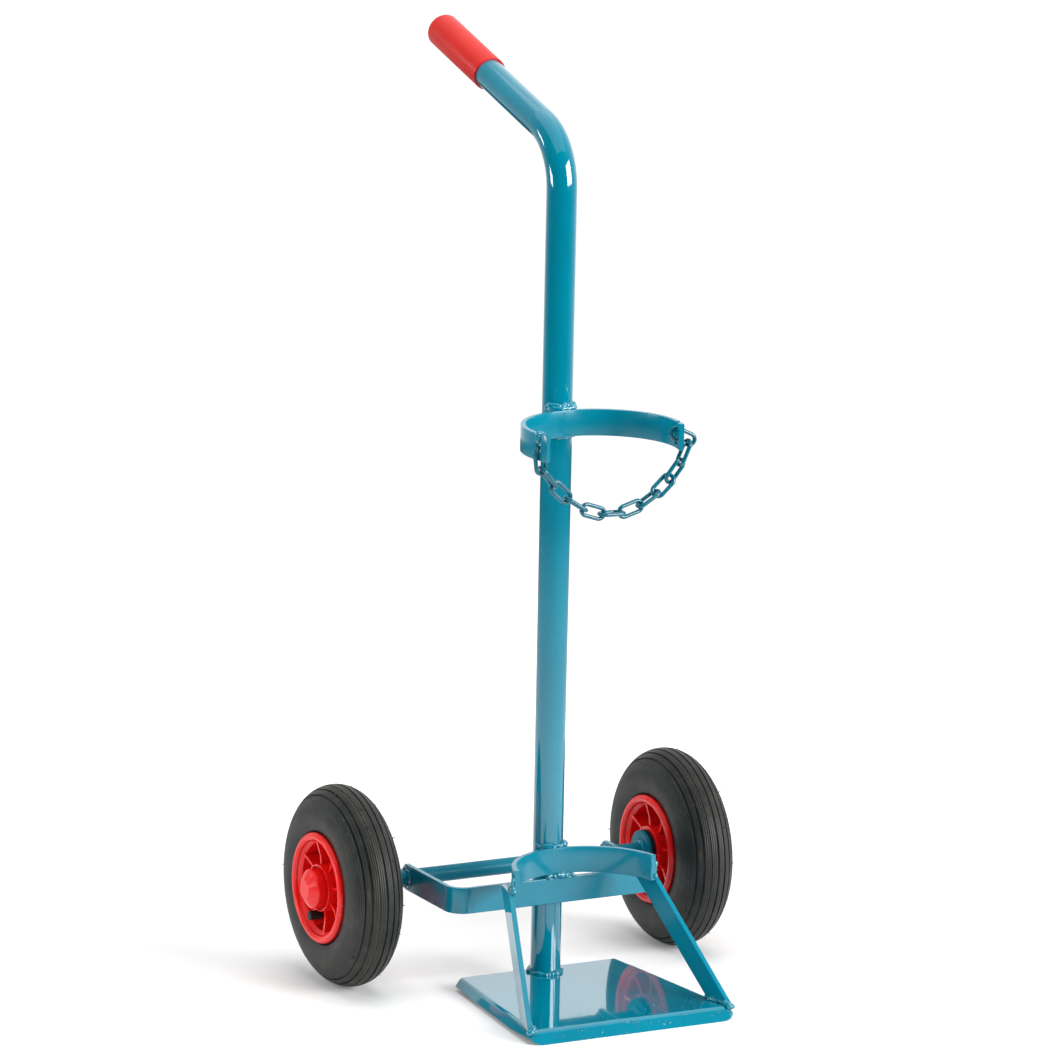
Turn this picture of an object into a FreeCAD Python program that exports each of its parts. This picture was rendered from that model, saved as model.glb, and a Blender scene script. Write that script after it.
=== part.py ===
# Gas cylinder cart: a bent steel tube on a folded foot plate, with two flat-bar cradle hoops, a securing
# chain, a flat-bar axle bracket and two pneumatic wheels.
# Millimetres and degrees. X points right seen from the front, the front faces -Y and Z points up.
# The floor is z = 0 and the origin is under the middle of the cart's box.
import FreeCAD, Part
import math
import os
import Sketcher
from FreeCAD import Matrix, Placement, Rotation, Vector

doc = FreeCAD.newDocument("gas_cylinder_cart")
sheet = doc.addObject("Spreadsheet::Sheet", "Sizes")

# Driving dimensions
SIZES = {
    # upright tube, handle and grip
    "upright_setback": 38.4,
    "tube_radius": 15.0,
    "tube_wall": 2.0,
    "bend_start": 793.5,
    "bend_radius": 60.0,
    "handle_rise": 16.0,
    "handle_length": 222.0,
    "grip_length": 109.0,
    "grip_radius": 17.0,
    "grip_cap": 3.0,
    "grip_rounding": 5.0,
    "painted_gap": 0.05,
    # foot plate
    "plate_top": 12.5,
    "plate_thickness": 3.5,
    "plate_front": 178.0,
    "plate_back": 13.0,
    "plate_front_half": 108.3,
    "plate_back_half": 87.2,
    "plate_tail": 30.0,
    "flange_spread": 8.5,
    "flange_lift": 4.3,
    "lip_straight_half": 98.8,
    "lip_corner": 18.0,
    "lip_corner_radius": 20.0,
    "plate_corner": 7.0,
    "plate_bend": 6.0,
    # flat bar, hoops and braces
    "bar_height": 26.0,
    "bar_thickness": 5.0,
    "hoop_radius": 79.0,
    "lower_hoop_level": 117.0,
    "lower_hoop_half_angle": 79.0,
    "upper_hoop_level": 554.5,
    "upper_hoop_half_angle": 109.5,
    "slot_angle": 10.5,
    "slot_width": 6.0,
    "slot_depth": 22.5,
    "hole_floor": 8.0,
    "hole_height": 8.5,
    "brace_width": 22.0,
    "brace_length": 230.0,
    "brace_top": 121.0,
    "brace_upper_half": 76.9,
    "brace_upper_front": 75.6,
    "brace_lower_half": 107.3,
    "brace_lower_front": 179.4,
    "brace_twist": 8.2,
    "brace_gap": 0.1,
    # axle bracket and axle
    "bracket_half": 113.5,
    "bracket_bend": 19.0,
    "bracket_tail": 12.4,
    "bracket_chamfer": 8.0,
    "axle_height": 100.0,
    "axle_back": 81.6,
    "axle_radius": 8.0,
    "axle_overhang": 33.0,
    "axle_chamfer": 1.0,
    "track_half": 183.5,
    "collar_radius": 19.5,
    "collar_thickness": 4.0,
    "collar_gap": 0.6,
    "retainer_radius": 13.0,
    "retainer_thickness": 2.0,
    "running_gap": 0.05,
    # rim and bushes, measured from the middle of the wheel
    "wheel_roll": 11.5,
    "hub_half": 27.0,
    "hub_radius": 23.5,
    "hub_recess": 4.0,
    "hub_recess_radius": 21.8,
    "web_half": 2.0,
    "barrel_radius": 43.5,
    "bed_radius": 48.0,
    "bed_half": 22.5,
    "dish_depth": 23.0,
    "bead_radius": 4.0,
    "bead_rise": 3.0,
    "rib_thickness": 3.0,
    "rib_count": 8.0,
    "rib_depth": 22.0,
    "rib_waist_radius": 31.5,
    "rib_crest_depth": 25.2,
    "rib_bite": 2.5,
    "bush_radius": 13.0,
    "bush_length": 20.0,
    "inner_flange_radius": 20.0,
    "inner_flange": 3.4,
    "outer_flange_radius": 15.5,
    "outer_flange": 2.0,
    # hub cap
    "cap_radius": 19.5,
    "cap_wall": 2.5,
    "cap_skirt": 12.5,
    "cap_cone": 6.5,
    "cap_face_radius": 9.5,
    # tyre and inner tube
    "tyre_radius": 100.0,
    "crown_radius": 26.0,
    "crown_half_angle": 50.0,
    "side_radius": 34.6,
    "tyre_wall": 4.5,
    "side_wall": 4.0,
    "heel_half": 22.2,
    "heel_radius": 48.3,
    "toe_half": 14.0,
    "clinch_radius": 57.0,
    "clinch_half": 26.0,
    "toe_rise": 1.5,
    "groove_depth": 1.7,
    "groove_half_width": 0.9,
    "groove_overcut": 1.0,
    "groove_step": 16.5,
    "tube_ring_radius": 71.5,
    "tube_section": 20.5,
    "tube_skin": 2.0,
    # valve
    "valve_offset": 10.0,
    "valve_root": 50.6,
    "valve_axis_radius": 29.5,
    "valve_bend": 5.0,
    "valve_reach": 22.0,
    "valve_stem_radius": 3.5,
    "valve_hole_radius": 4.2,
    "valve_cap_radius": 4.75,
    "valve_cap_length": 12.0,
    "valve_cap_chamfer": 1.0,
    # chain
    "wire_radius": 2.0,
    "link_bow": 5.5,
    "link_straight_half": 7.2,
    "link_pitch": 21.0,
    "link_seat_gap": 0.3,
    "hook_tilt": 26.0,
    "hook_slide": 1.8,
    "first_link_lean": 8.0,
    "last_link_lean": 22.0,
    "link_ease": 2.6,
}
for row, (alias, number) in enumerate(SIZES.items(), start=1):
    sheet.set(f"A{row}", alias)
    sheet.set(f"B{row}", str(number))
    sheet.setAlias(f"B{row}", alias)
doc.recompute()

GROOVES_EACH_SIDE = 3
HANGING_LINKS = 9
TWISTED_ROLLS = (-35.0, 20.0)
LAST_LINK_ROLL = -78.0
HALVINGS = 60
SMALL_LENGTH = 0.01
H_AXIS = -1
V_AXIS = -2
CENTRE = 3


class Size:
    """A number together with the sheet expression that it comes from."""

    def __init__(self, value, text):
        self.value = value
        self.text = text

    def __add__(self, other):
        other = as_size(other)
        return Size(self.value + other.value, f"({self.text} + {other.text})")

    def __sub__(self, other):
        other = as_size(other)
        return Size(self.value - other.value, f"({self.text} - {other.text})")

    def __mul__(self, other):
        other = as_size(other)
        return Size(self.value * other.value, f"({self.text} * {other.text})")

    def __truediv__(self, other):
        other = as_size(other)
        return Size(self.value / other.value, f"({self.text} / {other.text})")

    def __neg__(self):
        return Size(-self.value, f"(0 - {self.text})")


class SheetSizes:
    """Gives each alias of the sheet as a Size, by name."""

    def __getattr__(self, alias):
        return Size(float(sheet.get(alias)), f"Sizes.{alias}")


def as_size(number):
    if isinstance(number, Size):
        return number
    return Size(float(number), repr(float(number)))


def sine(angle):
    return Size(math.sin(math.radians(angle.value)), f"sin({angle.text} * 1 deg)")


def cosine(angle):
    return Size(math.cos(math.radians(angle.value)), f"cos({angle.text} * 1 deg)")


def bind(item, **properties):
    for name, value in properties.items():
        item.setExpression(name, as_size(value).text)


s = SheetSizes()
pieces = []
ZERO = as_size(0)


def home(x=0.0, y=0.0, z=0.0, rotation=Rotation()):
    """A placement given from the foot of the upright's axis."""
    return Placement(Vector(x, y - s.upright_setback.value, z), rotation)


def turn_to(first, second, third):
    """The turn that carries the X, Y and Z axes to three directions square to each other."""
    return Placement(
        Matrix(
            first.x, second.x, third.x, 0,
            first.y, second.y, third.y, 0,
            first.z, second.z, third.z, 0,
            0, 0, 0, 1,
        )
    ).Rotation


def keep(item, name, placement):
    """Names a finished piece and puts it in its place."""
    item.Label = name
    item.Placement = placement
    pieces.append(item)
    return item


# Sketch helpers


def add_sketch(body, role, name, lift=None):
    plane = next(item for item in body.Origin.OriginFeatures if item.Role == role)
    sketch = body.newObject("Sketcher::SketchObject", name)
    sketch.AttachmentSupport = [(plane, "")]
    sketch.MapMode = "FlatFace"
    if lift is not None:
        sketch.setExpression("AttachmentOffset.Base.z", lift.text)
    return sketch


def pin_point(sketch, geometry, point, place):
    """Binds a point's two coordinates to the sheet."""
    for kind, axis, value in (("DistanceX", V_AXIS, place[0]), ("DistanceY", H_AXIS, place[1])):
        if value.value == 0.0:
            sketch.addConstraint(Sketcher.Constraint("PointOnObject", geometry, point, axis))
            continue
        index = sketch.addConstraint(Sketcher.Constraint(kind, -1, 1, geometry, point, value.value))
        sketch.setExpression(f"Constraints[{index}]", value.text)


def set_radius(sketch, geometry, radius):
    index = sketch.addConstraint(Sketcher.Constraint("Radius", geometry, radius.value))
    sketch.setExpression(f"Constraints[{index}]", radius.text)


def arc_between(start, end, radius, side):
    """The shorter arc from start to end; side is +1 for a centre on the left, -1 for one on the right."""
    chord = end - start
    height = math.sqrt(max(radius * radius - chord.Length * chord.Length / 4, 0.0))
    left = Vector(-chord.y, chord.x, 0) / chord.Length
    centre = (start + end) / 2 + left * (height * side)
    first, last = (start, end) if side > 0 else (end, start)
    first_angle = math.atan2(first.y - centre.y, first.x - centre.x)
    last_angle = math.atan2(last.y - centre.y, last.x - centre.x)
    if last_angle < first_angle:
        last_angle += 2 * math.pi
    return Part.ArcOfCircle(Part.Circle(centre, Vector(0, 0, 1), radius), first_angle, last_angle)


def outline(sketch, corners):
    """A closed outline. A corner is (u, v), or (u, v, radius, side) where an arc leads to the next corner."""
    places = [(as_size(corner[0]), as_size(corner[1])) for corner in corners]
    spots = [Vector(u.value, v.value, 0) for u, v in places]
    ends = []
    for index, corner in enumerate(corners):
        start = spots[index]
        end = spots[(index + 1) % len(corners)]
        if len(corner) == 2:
            geometry = sketch.addGeometry(Part.LineSegment(start, end))
            ends.append((geometry, 1, 2))
            continue
        radius, side = corner[2:]
        geometry = sketch.addGeometry(arc_between(start, end, radius.value, side))
        ends.append((geometry, 1, 2) if side > 0 else (geometry, 2, 1))
    for index, (geometry, first, last) in enumerate(ends):
        following = ends[(index + 1) % len(ends)]
        sketch.addConstraint(Sketcher.Constraint("Coincident", geometry, last, following[0], following[1]))
        pin_point(sketch, geometry, first, places[index])
    for (geometry, first, last), corner in zip(ends, corners):
        if len(corner) == 4:
            set_radius(sketch, geometry, corner[2])


def circle(sketch, u, v, radius):
    place = (as_size(u), as_size(v))
    centre = Vector(place[0].value, place[1].value, 0)
    geometry = sketch.addGeometry(Part.Circle(centre, Vector(0, 0, 1), radius.value))
    pin_point(sketch, geometry, CENTRE, place)
    set_radius(sketch, geometry, radius)


# Feature helpers


def add_feature(body, kind, name, sketch, **bound):
    feature = body.newObject("PartDesign::" + kind, name)
    feature.Profile = sketch
    bind(feature, **bound)
    return feature


def new_body(name):
    return doc.addObject("PartDesign::Body", name)


def turned_body(name, corners):
    """A body turned about its own X axis from an outline of (along the axis, radius) corners."""
    body = new_body(name)
    sketch = add_sketch(body, "XZ_Plane", name + "_profile")
    outline(sketch, corners)
    turning = add_feature(body, "Revolution", name + "_turning", sketch)
    turning.ReferenceAxis = (sketch, ["H_Axis"])
    return body


def ring_corners(start, end, bore, radius):
    return [(start, bore), (start, radius), (end, radius), (end, bore)]


def rounded_edges(body, name, base, edges, radius):
    fillet = body.newObject("PartDesign::Fillet", name)
    fillet.Base = (base, edges)
    bind(fillet, Radius=radius)
    return fillet


def edges_where(feature, test):
    return [f"Edge{index}" for index, edge in enumerate(feature.Shape.Edges, start=1) if test(edge)]


# Upright, handle and grip

TURN = as_size(90) - s.handle_rise
handle_direction = Vector(0, cosine(s.handle_rise).value, sine(s.handle_rise).value)


def handle_point(along):
    """A point on the handle's axis, a length past the end of the bend."""
    bend_end = Vector(
        0,
        (s.bend_radius * (as_size(1) - cosine(TURN))).value,
        (s.bend_start + s.bend_radius * sine(TURN)).value,
    )
    return bend_end + handle_direction * along


def make_upright_tube():
    body = new_body("upright_tube")
    path = add_sketch(body, "YZ_Plane", "tube_path")
    bend_end = handle_point(0)
    tube_end = handle_point(s.handle_length.value)
    bend_low = Vector(0, s.bend_start.value, 0)
    bend_high = Vector(bend_end.y, bend_end.z, 0)
    path.addGeometry(Part.LineSegment(Vector(0, s.plate_top.value, 0), bend_low))
    path.addGeometry(arc_between(bend_high, bend_low, s.bend_radius.value, 1))
    path.addGeometry(Part.LineSegment(bend_high, Vector(tube_end.y, tube_end.z, 0)))
    pin_point(path, 0, 1, (ZERO, s.plate_top))
    pin_point(path, 0, 2, (ZERO, s.bend_start))
    path.addConstraint(Sketcher.Constraint("Tangent", 0, 2, 1, 2))
    path.addConstraint(Sketcher.Constraint("Tangent", 1, 1, 2, 1))
    set_radius(path, 1, s.bend_radius)
    rise = path.addConstraint(Sketcher.Constraint("Angle", 2, math.radians(s.handle_rise.value)))
    path.setExpression(f"Constraints[{rise}]", f"{s.handle_rise.text} * 1 deg")
    reach = path.addConstraint(Sketcher.Constraint("Distance", 2, s.handle_length.value))
    path.setExpression(f"Constraints[{reach}]", s.handle_length.text)
    section = add_sketch(body, "XY_Plane", "tube_section", lift=s.plate_top)
    circle(section, 0, 0, s.tube_radius)
    circle(section, 0, 0, s.tube_radius - s.tube_wall)
    pipe = add_feature(body, "AdditivePipe", "tube_pipe", section)
    pipe.Spine = (path, ["Edge1", "Edge2", "Edge3"])
    keep(body, "upright_tube", home())


def make_handle_grip():
    bore = s.tube_radius + s.painted_gap
    shoulder = s.grip_length - s.grip_rounding
    corners = [
        (0, bore),
        (0, s.grip_radius),
        (shoulder, s.grip_radius, s.grip_rounding, -1),
        (s.grip_length, s.grip_radius - s.grip_rounding),
        (s.grip_length, 0),
        (s.grip_length - s.grip_cap, 0),
        (s.grip_length - s.grip_cap, bore),
    ]
    body = turned_body("handle_grip", corners)
    mouth = handle_point((s.handle_length - s.grip_length + s.grip_cap).value)
    along_handle = Rotation(Vector(1, 0, 0), handle_direction)
    keep(body, "handle_grip", home(mouth.x, mouth.y, mouth.z, along_handle))


# Foot plate


def plate_outline(body, name, inset):
    """The rim at floor level, drawn in by an inset. It runs on past the rear edge, to be cut there."""
    grow = s.flange_spread - inset
    front = -(s.plate_front + grow)
    tail = s.plate_back + s.plate_tail
    narrowing = (s.plate_front_half - s.plate_back_half) / (s.plate_front + s.plate_back)
    front_half = s.plate_back_half + narrowing * (s.plate_back - front) + grow
    tail_half = s.plate_back_half + narrowing * (s.plate_back - tail) + grow
    sketch = add_sketch(body, "XY_Plane", name)
    outline(sketch, [(-front_half, front), (front_half, front), (tail_half, tail), (-tail_half, tail)])
    return sketch


def cut_through_plate(body, name, role, outlines):
    """Cuts outlines drawn on an upright plane through the whole plate, to both sides of that plane."""
    sketch = add_sketch(body, role, name + "_outline")
    for corners in outlines:
        outline(sketch, corners)
    cut = add_feature(body, "Pocket", name, sketch, Length=(s.plate_front + s.plate_tail) * 2)
    cut.SideType = "Symmetric"


def make_base_plate():
    """A plate folded down at both sides and at the front, where its lip reaches the floor."""
    body = new_body("base_plate")
    lean = Size(
        math.degrees(math.atan2(s.flange_spread.value, s.plate_top.value)),
        f"atan2({s.flange_spread.text}; {s.plate_top.text}) / 1 deg",
    )
    rim = plate_outline(body, "plate_rim", ZERO)
    block = add_feature(body, "Pad", "plate_block", rim, Length=s.plate_top, TaperAngle=-lean)
    doc.recompute()
    level = s.plate_top.value
    slanted = edges_where(block, lambda edge: edge.BoundBox.ZLength > level / 2)
    corners = rounded_edges(body, "plate_corners", block, slanted, s.plate_corner)
    doc.recompute()
    upper = edges_where(corners, lambda edge: edge.BoundBox.ZMin > level / 2)
    rounded_edges(body, "plate_folds", corners, upper, s.plate_bend)
    hollow_rim = plate_outline(body, "hollow_rim", s.plate_thickness)
    depth = s.plate_top - s.plate_thickness
    hollow = add_feature(body, "Pocket", "plate_hollow", hollow_rim, Length=depth, TaperAngle=-lean)
    hollow.Reversed = True

    # The rear edge is cut straight, and the side flanges end above the floor
    beyond = s.plate_back + s.plate_tail * 2
    rear_cut = [
        (-s.plate_front, -s.plate_tail),
        (beyond, -s.plate_tail),
        (beyond, s.plate_tail),
        (s.plate_back, s.plate_tail),
        (s.plate_back, s.flange_lift),
        (-s.plate_front, s.flange_lift),
    ]
    cut_through_plate(body, "plate_rear_cut", "YZ_Plane", [rear_cut])

    # The lip's lower corners are rounded
    lip_cuts = []
    for side in (-1, 1):
        inner = s.lip_straight_half * side
        outer = (s.lip_straight_half + s.lip_corner) * side
        far = (s.lip_straight_half + s.plate_tail) * side
        lip_cuts.append(
            [
                (inner, 0, s.lip_corner_radius, side),
                (outer, s.lip_corner),
                (far, s.lip_corner),
                (far, -s.plate_tail),
                (inner, -s.plate_tail),
            ]
        )
    cut_through_plate(body, "plate_lip_corners", "XZ_Plane", lip_cuts)
    keep(body, "base_plate", home())


# Hoops and braces

hoop_middle_y = -(s.tube_radius + s.hoop_radius).value
bar_middle_radius = s.hoop_radius.value - s.bar_thickness.value / 2
slot_floor = (s.upper_hoop_level + s.bar_height - s.slot_depth).value
hole_floor = (s.upper_hoop_level + s.hole_floor).value


def hoop_point(side, radius, z):
    """A point in the radial plane of a slot, a distance from the hoop's middle. Side is -1 left, +1 right."""
    angle = math.radians(s.slot_angle.value)
    return Vector(side * radius * math.cos(angle), hoop_middle_y - radius * math.sin(angle), z)


def make_hoop(name, half_angle):
    """An open ring of flat bar about the Z axis, its gap to the front."""
    sector = doc.addObject("Part::Cylinder", name + "_sector")
    bind(sector, Radius=s.hoop_radius, Height=s.bar_height, Angle=half_angle * 2)
    sector.Placement = Placement(Vector(), Rotation(Vector(0, 0, 1), 90 - half_angle.value))
    inside = doc.addObject("Part::Cylinder", name + "_inside")
    bind(inside, Radius=s.hoop_radius - s.bar_thickness, Height=s.bar_height)
    ring = doc.addObject("Part::Cut", name)
    ring.Base = sector
    ring.Tool = inside
    return ring


def make_slot(name, side, floor, height):
    """A radial cut through the bar near one end, upwards from its floor."""
    overcut = s.bar_thickness
    start = s.hoop_radius - s.bar_thickness - overcut
    slot = doc.addObject("Part::Box", name)
    bind(slot, Length=s.bar_thickness + overcut * 2, Width=s.slot_width, Height=height)
    turn = Rotation(Vector(0, 0, 1), -s.slot_angle.value if side > 0 else 180 + s.slot_angle.value)
    corner = Vector(start.value, -s.slot_width.value / 2, 0)
    slot.Placement = Placement(turn.multVec(corner) + Vector(0, 0, floor.value), turn)
    return slot


def make_hoops():
    lower = make_hoop("lower_hoop", s.lower_hoop_half_angle)
    keep(lower, "lower_hoop", home(0, hoop_middle_y, s.lower_hoop_level.value))
    ring = make_hoop("upper_ring", s.upper_hoop_half_angle)
    cuts = doc.addObject("Part::MultiFuse", "slots")
    cuts.Shapes = [
        make_slot("left_hole", -1, s.hole_floor, s.hole_height),
        make_slot("right_slot", 1, s.bar_height - s.slot_depth, s.slot_depth * 2),
    ]
    upper = doc.addObject("Part::Cut", "upper_hoop")
    upper.Base = ring
    upper.Tool = cuts
    keep(upper, "upper_hoop", home(0, hoop_middle_y, s.upper_hoop_level.value))


def make_brace(name, side):
    """A flat bar that leans forwards and outwards from the lower hoop to the plate, cut level at both ends.
    Its inner front edge runs between two points."""
    foot = s.plate_top + s.brace_gap
    upper = Vector(side * s.brace_upper_half.value, -s.brace_upper_front.value, s.brace_top.value)
    lower = Vector(side * s.brace_lower_half.value, -s.brace_lower_front.value, foot.value)
    along = (upper - lower).normalize()
    square = along.cross(Vector(1, 0, 0)).normalize()
    rearwards = Rotation(along, side * s.brace_twist.value).multVec(square)
    leftwards = along.cross(rearwards)
    corner = lower - along * s.brace_width.value
    if side > 0:
        corner = corner - leftwards * s.bar_thickness.value
    bar = doc.addObject("Part::Box", name + "_bar")
    bind(bar, Length=s.brace_width, Width=s.bar_thickness, Height=s.brace_length)
    bar.Placement = Placement(corner, turn_to(rearwards, leftwards, along))
    reach = doc.addObject("Part::Box", name + "_reach")
    span = s.brace_length
    bind(reach, Length=span * 2, Width=span * 2, Height=s.brace_top - foot)
    reach.Placement = Placement(Vector(-span.value, -span.value * 2, foot.value), Rotation())
    brace = doc.addObject("Part::Common", name)
    brace.Base = bar
    brace.Tool = reach
    keep(brace, name, home())


# Axle bracket, axle and what sits on it


def make_axle_bracket():
    body = new_body("axle_bracket")
    half = s.bracket_half
    bar = s.bar_thickness
    front = -(s.tube_radius + bar)
    rear = s.axle_back + s.bracket_tail
    outer = s.bracket_bend
    inner = outer - bar
    corners = [
        (-half, rear),
        (-half, front + outer, outer, 1),
        (-half + outer, front),
        (half - outer, front, outer, 1),
        (half, front + outer),
        (half, rear),
        (half - bar, rear),
        (half - bar, front + outer, inner, -1),
        (half - outer, front + bar),
        (-half + outer, front + bar, inner, -1),
        (-half + bar, front + outer),
        (-half + bar, rear),
    ]
    sketch = add_sketch(body, "XY_Plane", "bracket_outline", lift=s.axle_height - s.bar_height / 2)
    outline(sketch, corners)
    add_feature(body, "Pad", "bracket_pad", sketch, Length=s.bar_height)
    hole = add_sketch(body, "YZ_Plane", "axle_hole")
    circle(hole, s.axle_back, s.axle_height, s.axle_radius + s.painted_gap)
    pocket = add_feature(body, "Pocket", "axle_pocket", hole, Length=(half + bar) * 2)
    pocket.SideType = "Symmetric"
    doc.recompute()
    rear_line = rear.value - SMALL_LENGTH
    tails = edges_where(
        pocket, lambda edge: edge.BoundBox.YMin > rear_line and edge.BoundBox.ZLength < SMALL_LENGTH
    )
    chamfer = body.newObject("PartDesign::Chamfer", "bracket_tails")
    chamfer.Base = (pocket, tails)
    bind(chamfer, Size=s.bracket_chamfer)
    keep(body, "axle_bracket", home())


axle_place = home(0, s.axle_back.value, s.axle_height.value)


def make_axle():
    reach = s.track_half + s.axle_overhang
    edge = s.axle_chamfer
    radius = s.axle_radius
    corners = [
        (-reach, 0),
        (-reach, radius - edge),
        (-reach + edge, radius),
        (reach - edge, radius),
        (reach, radius - edge),
        (reach, 0),
    ]
    keep(turned_body("axle", corners), "axle", axle_place)


def make_axle_fittings(side_name, place):
    bore = s.axle_radius + s.painted_gap
    collar_outer = -(s.hub_half + s.inner_flange + s.collar_gap)
    collar = ring_corners(collar_outer - s.collar_thickness, collar_outer, bore, s.collar_radius)
    name = side_name + "_axle_collar"
    keep(turned_body(name, collar), name, place)
    inner = s.hub_half - s.hub_recess + s.outer_flange + s.collar_gap
    retainer = ring_corners(inner, inner + s.retainer_thickness, bore, s.retainer_radius)
    name = side_name + "_axle_retainer"
    keep(turned_body(name, retainer), name, place)


# Wheels: each piece is turned about X, with the outer side of the wheel at +X


def make_rim(name, place):
    bead = s.bead_radius
    bead_middle = s.bed_half + bead
    bead_level = s.bed_radius + s.bead_rise
    seat = s.hub_half - s.hub_recess
    bore = s.bush_radius + s.painted_gap / 2
    corners = [
        (-s.hub_half, bore),
        (-s.hub_half, s.hub_radius),
        (-s.web_half, s.hub_radius),
        (-s.web_half, s.barrel_radius),
        (-s.dish_depth, s.barrel_radius),
        (-bead_middle, bead_level - bead, bead, -1),
        (-bead_middle - bead, bead_level, bead, -1),
        (-bead_middle, bead_level + bead, bead, -1),
        (-s.bed_half, bead_level),
        (-s.bed_half, s.bed_radius),
        (s.bed_half, s.bed_radius),
        (s.bed_half, bead_level, bead, -1),
        (bead_middle, bead_level + bead, bead, -1),
        (bead_middle + bead, bead_level, bead, -1),
        (bead_middle, bead_level - bead),
        (s.dish_depth, s.barrel_radius),
        (s.web_half, s.barrel_radius),
        (s.web_half, s.hub_radius),
        (s.hub_half, s.hub_radius),
        (s.hub_half, s.hub_recess_radius),
        (seat, s.hub_recess_radius),
        (seat, bore),
    ]
    body = turned_body(name, corners)
    ribs = add_sketch(body, "XY_Plane", name + "_rib_outline")
    half_step = 180 / s.rib_count.value
    ribs.AttachmentOffset = Placement(Vector(), Rotation(Vector(1, 0, 0), half_step))
    for side in (-1, 1):
        outline(ribs, rib_corners(side))
    pad = add_feature(body, "Pad", name + "_rib", ribs, Length=s.rib_thickness)
    pad.SideType = "Symmetric"
    pattern = body.newObject("PartDesign::PolarPattern", name + "_ribs")
    pattern.Originals = [pad]
    pattern.Axis = (ribs, ["H_Axis"])
    pattern.Angle = 360
    bind(pattern, Occurrences=s.rib_count)
    body.Tip = pattern
    doc.recompute()
    hole = add_sketch(body, "XY_Plane", name + "_valve_hole", lift=-s.valve_axis_radius)
    circle(hole, s.valve_offset, 0, s.valve_hole_radius)
    depth = s.bed_radius + s.bead_radius - s.valve_axis_radius
    add_feature(body, "Pocket", name + "_valve_pocket", hole, Length=depth)
    keep(body, name, place)


def rib_corners(side):
    """One rib between hub and barrel, on one side of the web; its ends run into both."""
    root = s.hub_radius - s.rib_bite
    end = s.barrel_radius + s.rib_bite
    corners = [
        (s.web_half / 2, root),
        (s.rib_depth, root),
        (s.rib_depth, s.rib_waist_radius),
        (s.rib_crest_depth, end),
        (s.web_half / 2, end),
    ]
    return [(along * side, radius) for along, radius in corners]


def make_tyre(name, place):
    crown_level = s.tyre_radius - s.crown_radius
    inside = s.crown_radius - s.tyre_wall
    shoulder = s.crown_radius * sine(s.crown_half_angle)
    shoulder_level = crown_level + s.crown_radius * cosine(s.crown_half_angle)
    hollow = inside * sine(s.crown_half_angle)
    hollow_level = crown_level + inside * cosine(s.crown_half_angle)
    side = s.side_radius
    inner_side = side - s.side_wall
    heel_top = s.clinch_radius - (s.clinch_half - s.heel_half)
    foot_top = s.clinch_radius + s.toe_rise
    foot_half = s.clinch_half - s.tyre_wall
    corners = [
        (-s.heel_half, s.heel_radius),
        (-s.heel_half, heel_top),
        (-s.clinch_half, s.clinch_radius, side, -1),
        (-shoulder, shoulder_level, s.crown_radius, -1),
        (shoulder, shoulder_level, side, -1),
        (s.clinch_half, s.clinch_radius),
        (s.heel_half, heel_top),
        (s.heel_half, s.heel_radius),
        (s.toe_half, s.heel_radius),
        (foot_half, foot_top, inner_side, 1),
        (hollow, hollow_level, inside, 1),
        (-hollow, hollow_level, inner_side, 1),
        (-foot_half, foot_top),
        (-s.toe_half, s.heel_radius),
    ]
    body = turned_body(name, corners)
    grooves = add_sketch(body, "XZ_Plane", name + "_groove_outlines")
    floor = s.crown_radius - s.groove_depth
    mouth = s.crown_radius + s.groove_overcut
    for number in range(-GROOVES_EACH_SIDE, GROOVES_EACH_SIDE + 1):
        angle = s.groove_step * number
        quad = []
        for radius, across in ((floor, -1), (mouth, -1), (mouth, 1), (floor, 1)):
            half = s.groove_half_width * across
            quad.append(
                (
                    radius * sine(angle) + half * cosine(angle),
                    crown_level + radius * cosine(angle) - half * sine(angle),
                )
            )
        outline(grooves, quad)
    cut = add_feature(body, "Groove", name + "_grooves", grooves)
    cut.ReferenceAxis = (grooves, ["H_Axis"])
    keep(body, name, place)


def make_inner_tube(name, place):
    across = Placement(Vector(), Rotation(Vector(0, 1, 0), 90))
    skin = doc.addObject("Part::Torus", name + "_skin")
    bind(skin, Radius1=s.tube_ring_radius, Radius2=s.tube_section)
    air = doc.addObject("Part::Torus", name + "_air")
    bind(air, Radius1=s.tube_ring_radius, Radius2=s.tube_section - s.tube_skin)
    tube = doc.addObject("Part::Cut", name)
    tube.Base = skin
    tube.Tool = air
    keep(tube, name, place.multiply(across))


def make_bushes(side_name, place):
    bore = s.axle_radius + s.running_gap
    face = -s.hub_half
    inner = [
        (face - s.inner_flange, bore),
        (face - s.inner_flange, s.inner_flange_radius),
        (face, s.inner_flange_radius),
        (face, s.bush_radius),
        (face + s.bush_length, s.bush_radius),
        (face + s.bush_length, bore),
    ]
    name = side_name + "_inner_bush"
    keep(turned_body(name, inner), name, place)
    seat = s.hub_half - s.hub_recess
    outer = [
        (seat + s.outer_flange, bore),
        (seat + s.outer_flange, s.outer_flange_radius),
        (seat, s.outer_flange_radius),
        (seat, s.bush_radius),
        (seat - s.bush_length, s.bush_radius),
        (seat - s.bush_length, bore),
    ]
    name = side_name + "_outer_bush"
    keep(turned_body(name, outer), name, place)


def make_hub_cap(name, place):
    seat = s.hub_half - s.hub_recess
    rim = seat + s.cap_skirt
    face = rim + s.cap_cone
    wall = s.cap_wall
    corners = [
        (seat, s.cap_radius - wall),
        (seat, s.cap_radius),
        (rim, s.cap_radius),
        (face, s.cap_face_radius),
        (face, 0),
        (face - wall, 0),
        (face - wall, s.cap_face_radius - wall / 2),
        (rim - wall / 2, s.cap_radius - wall),
    ]
    keep(turned_body(name, corners), name, place)


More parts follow.
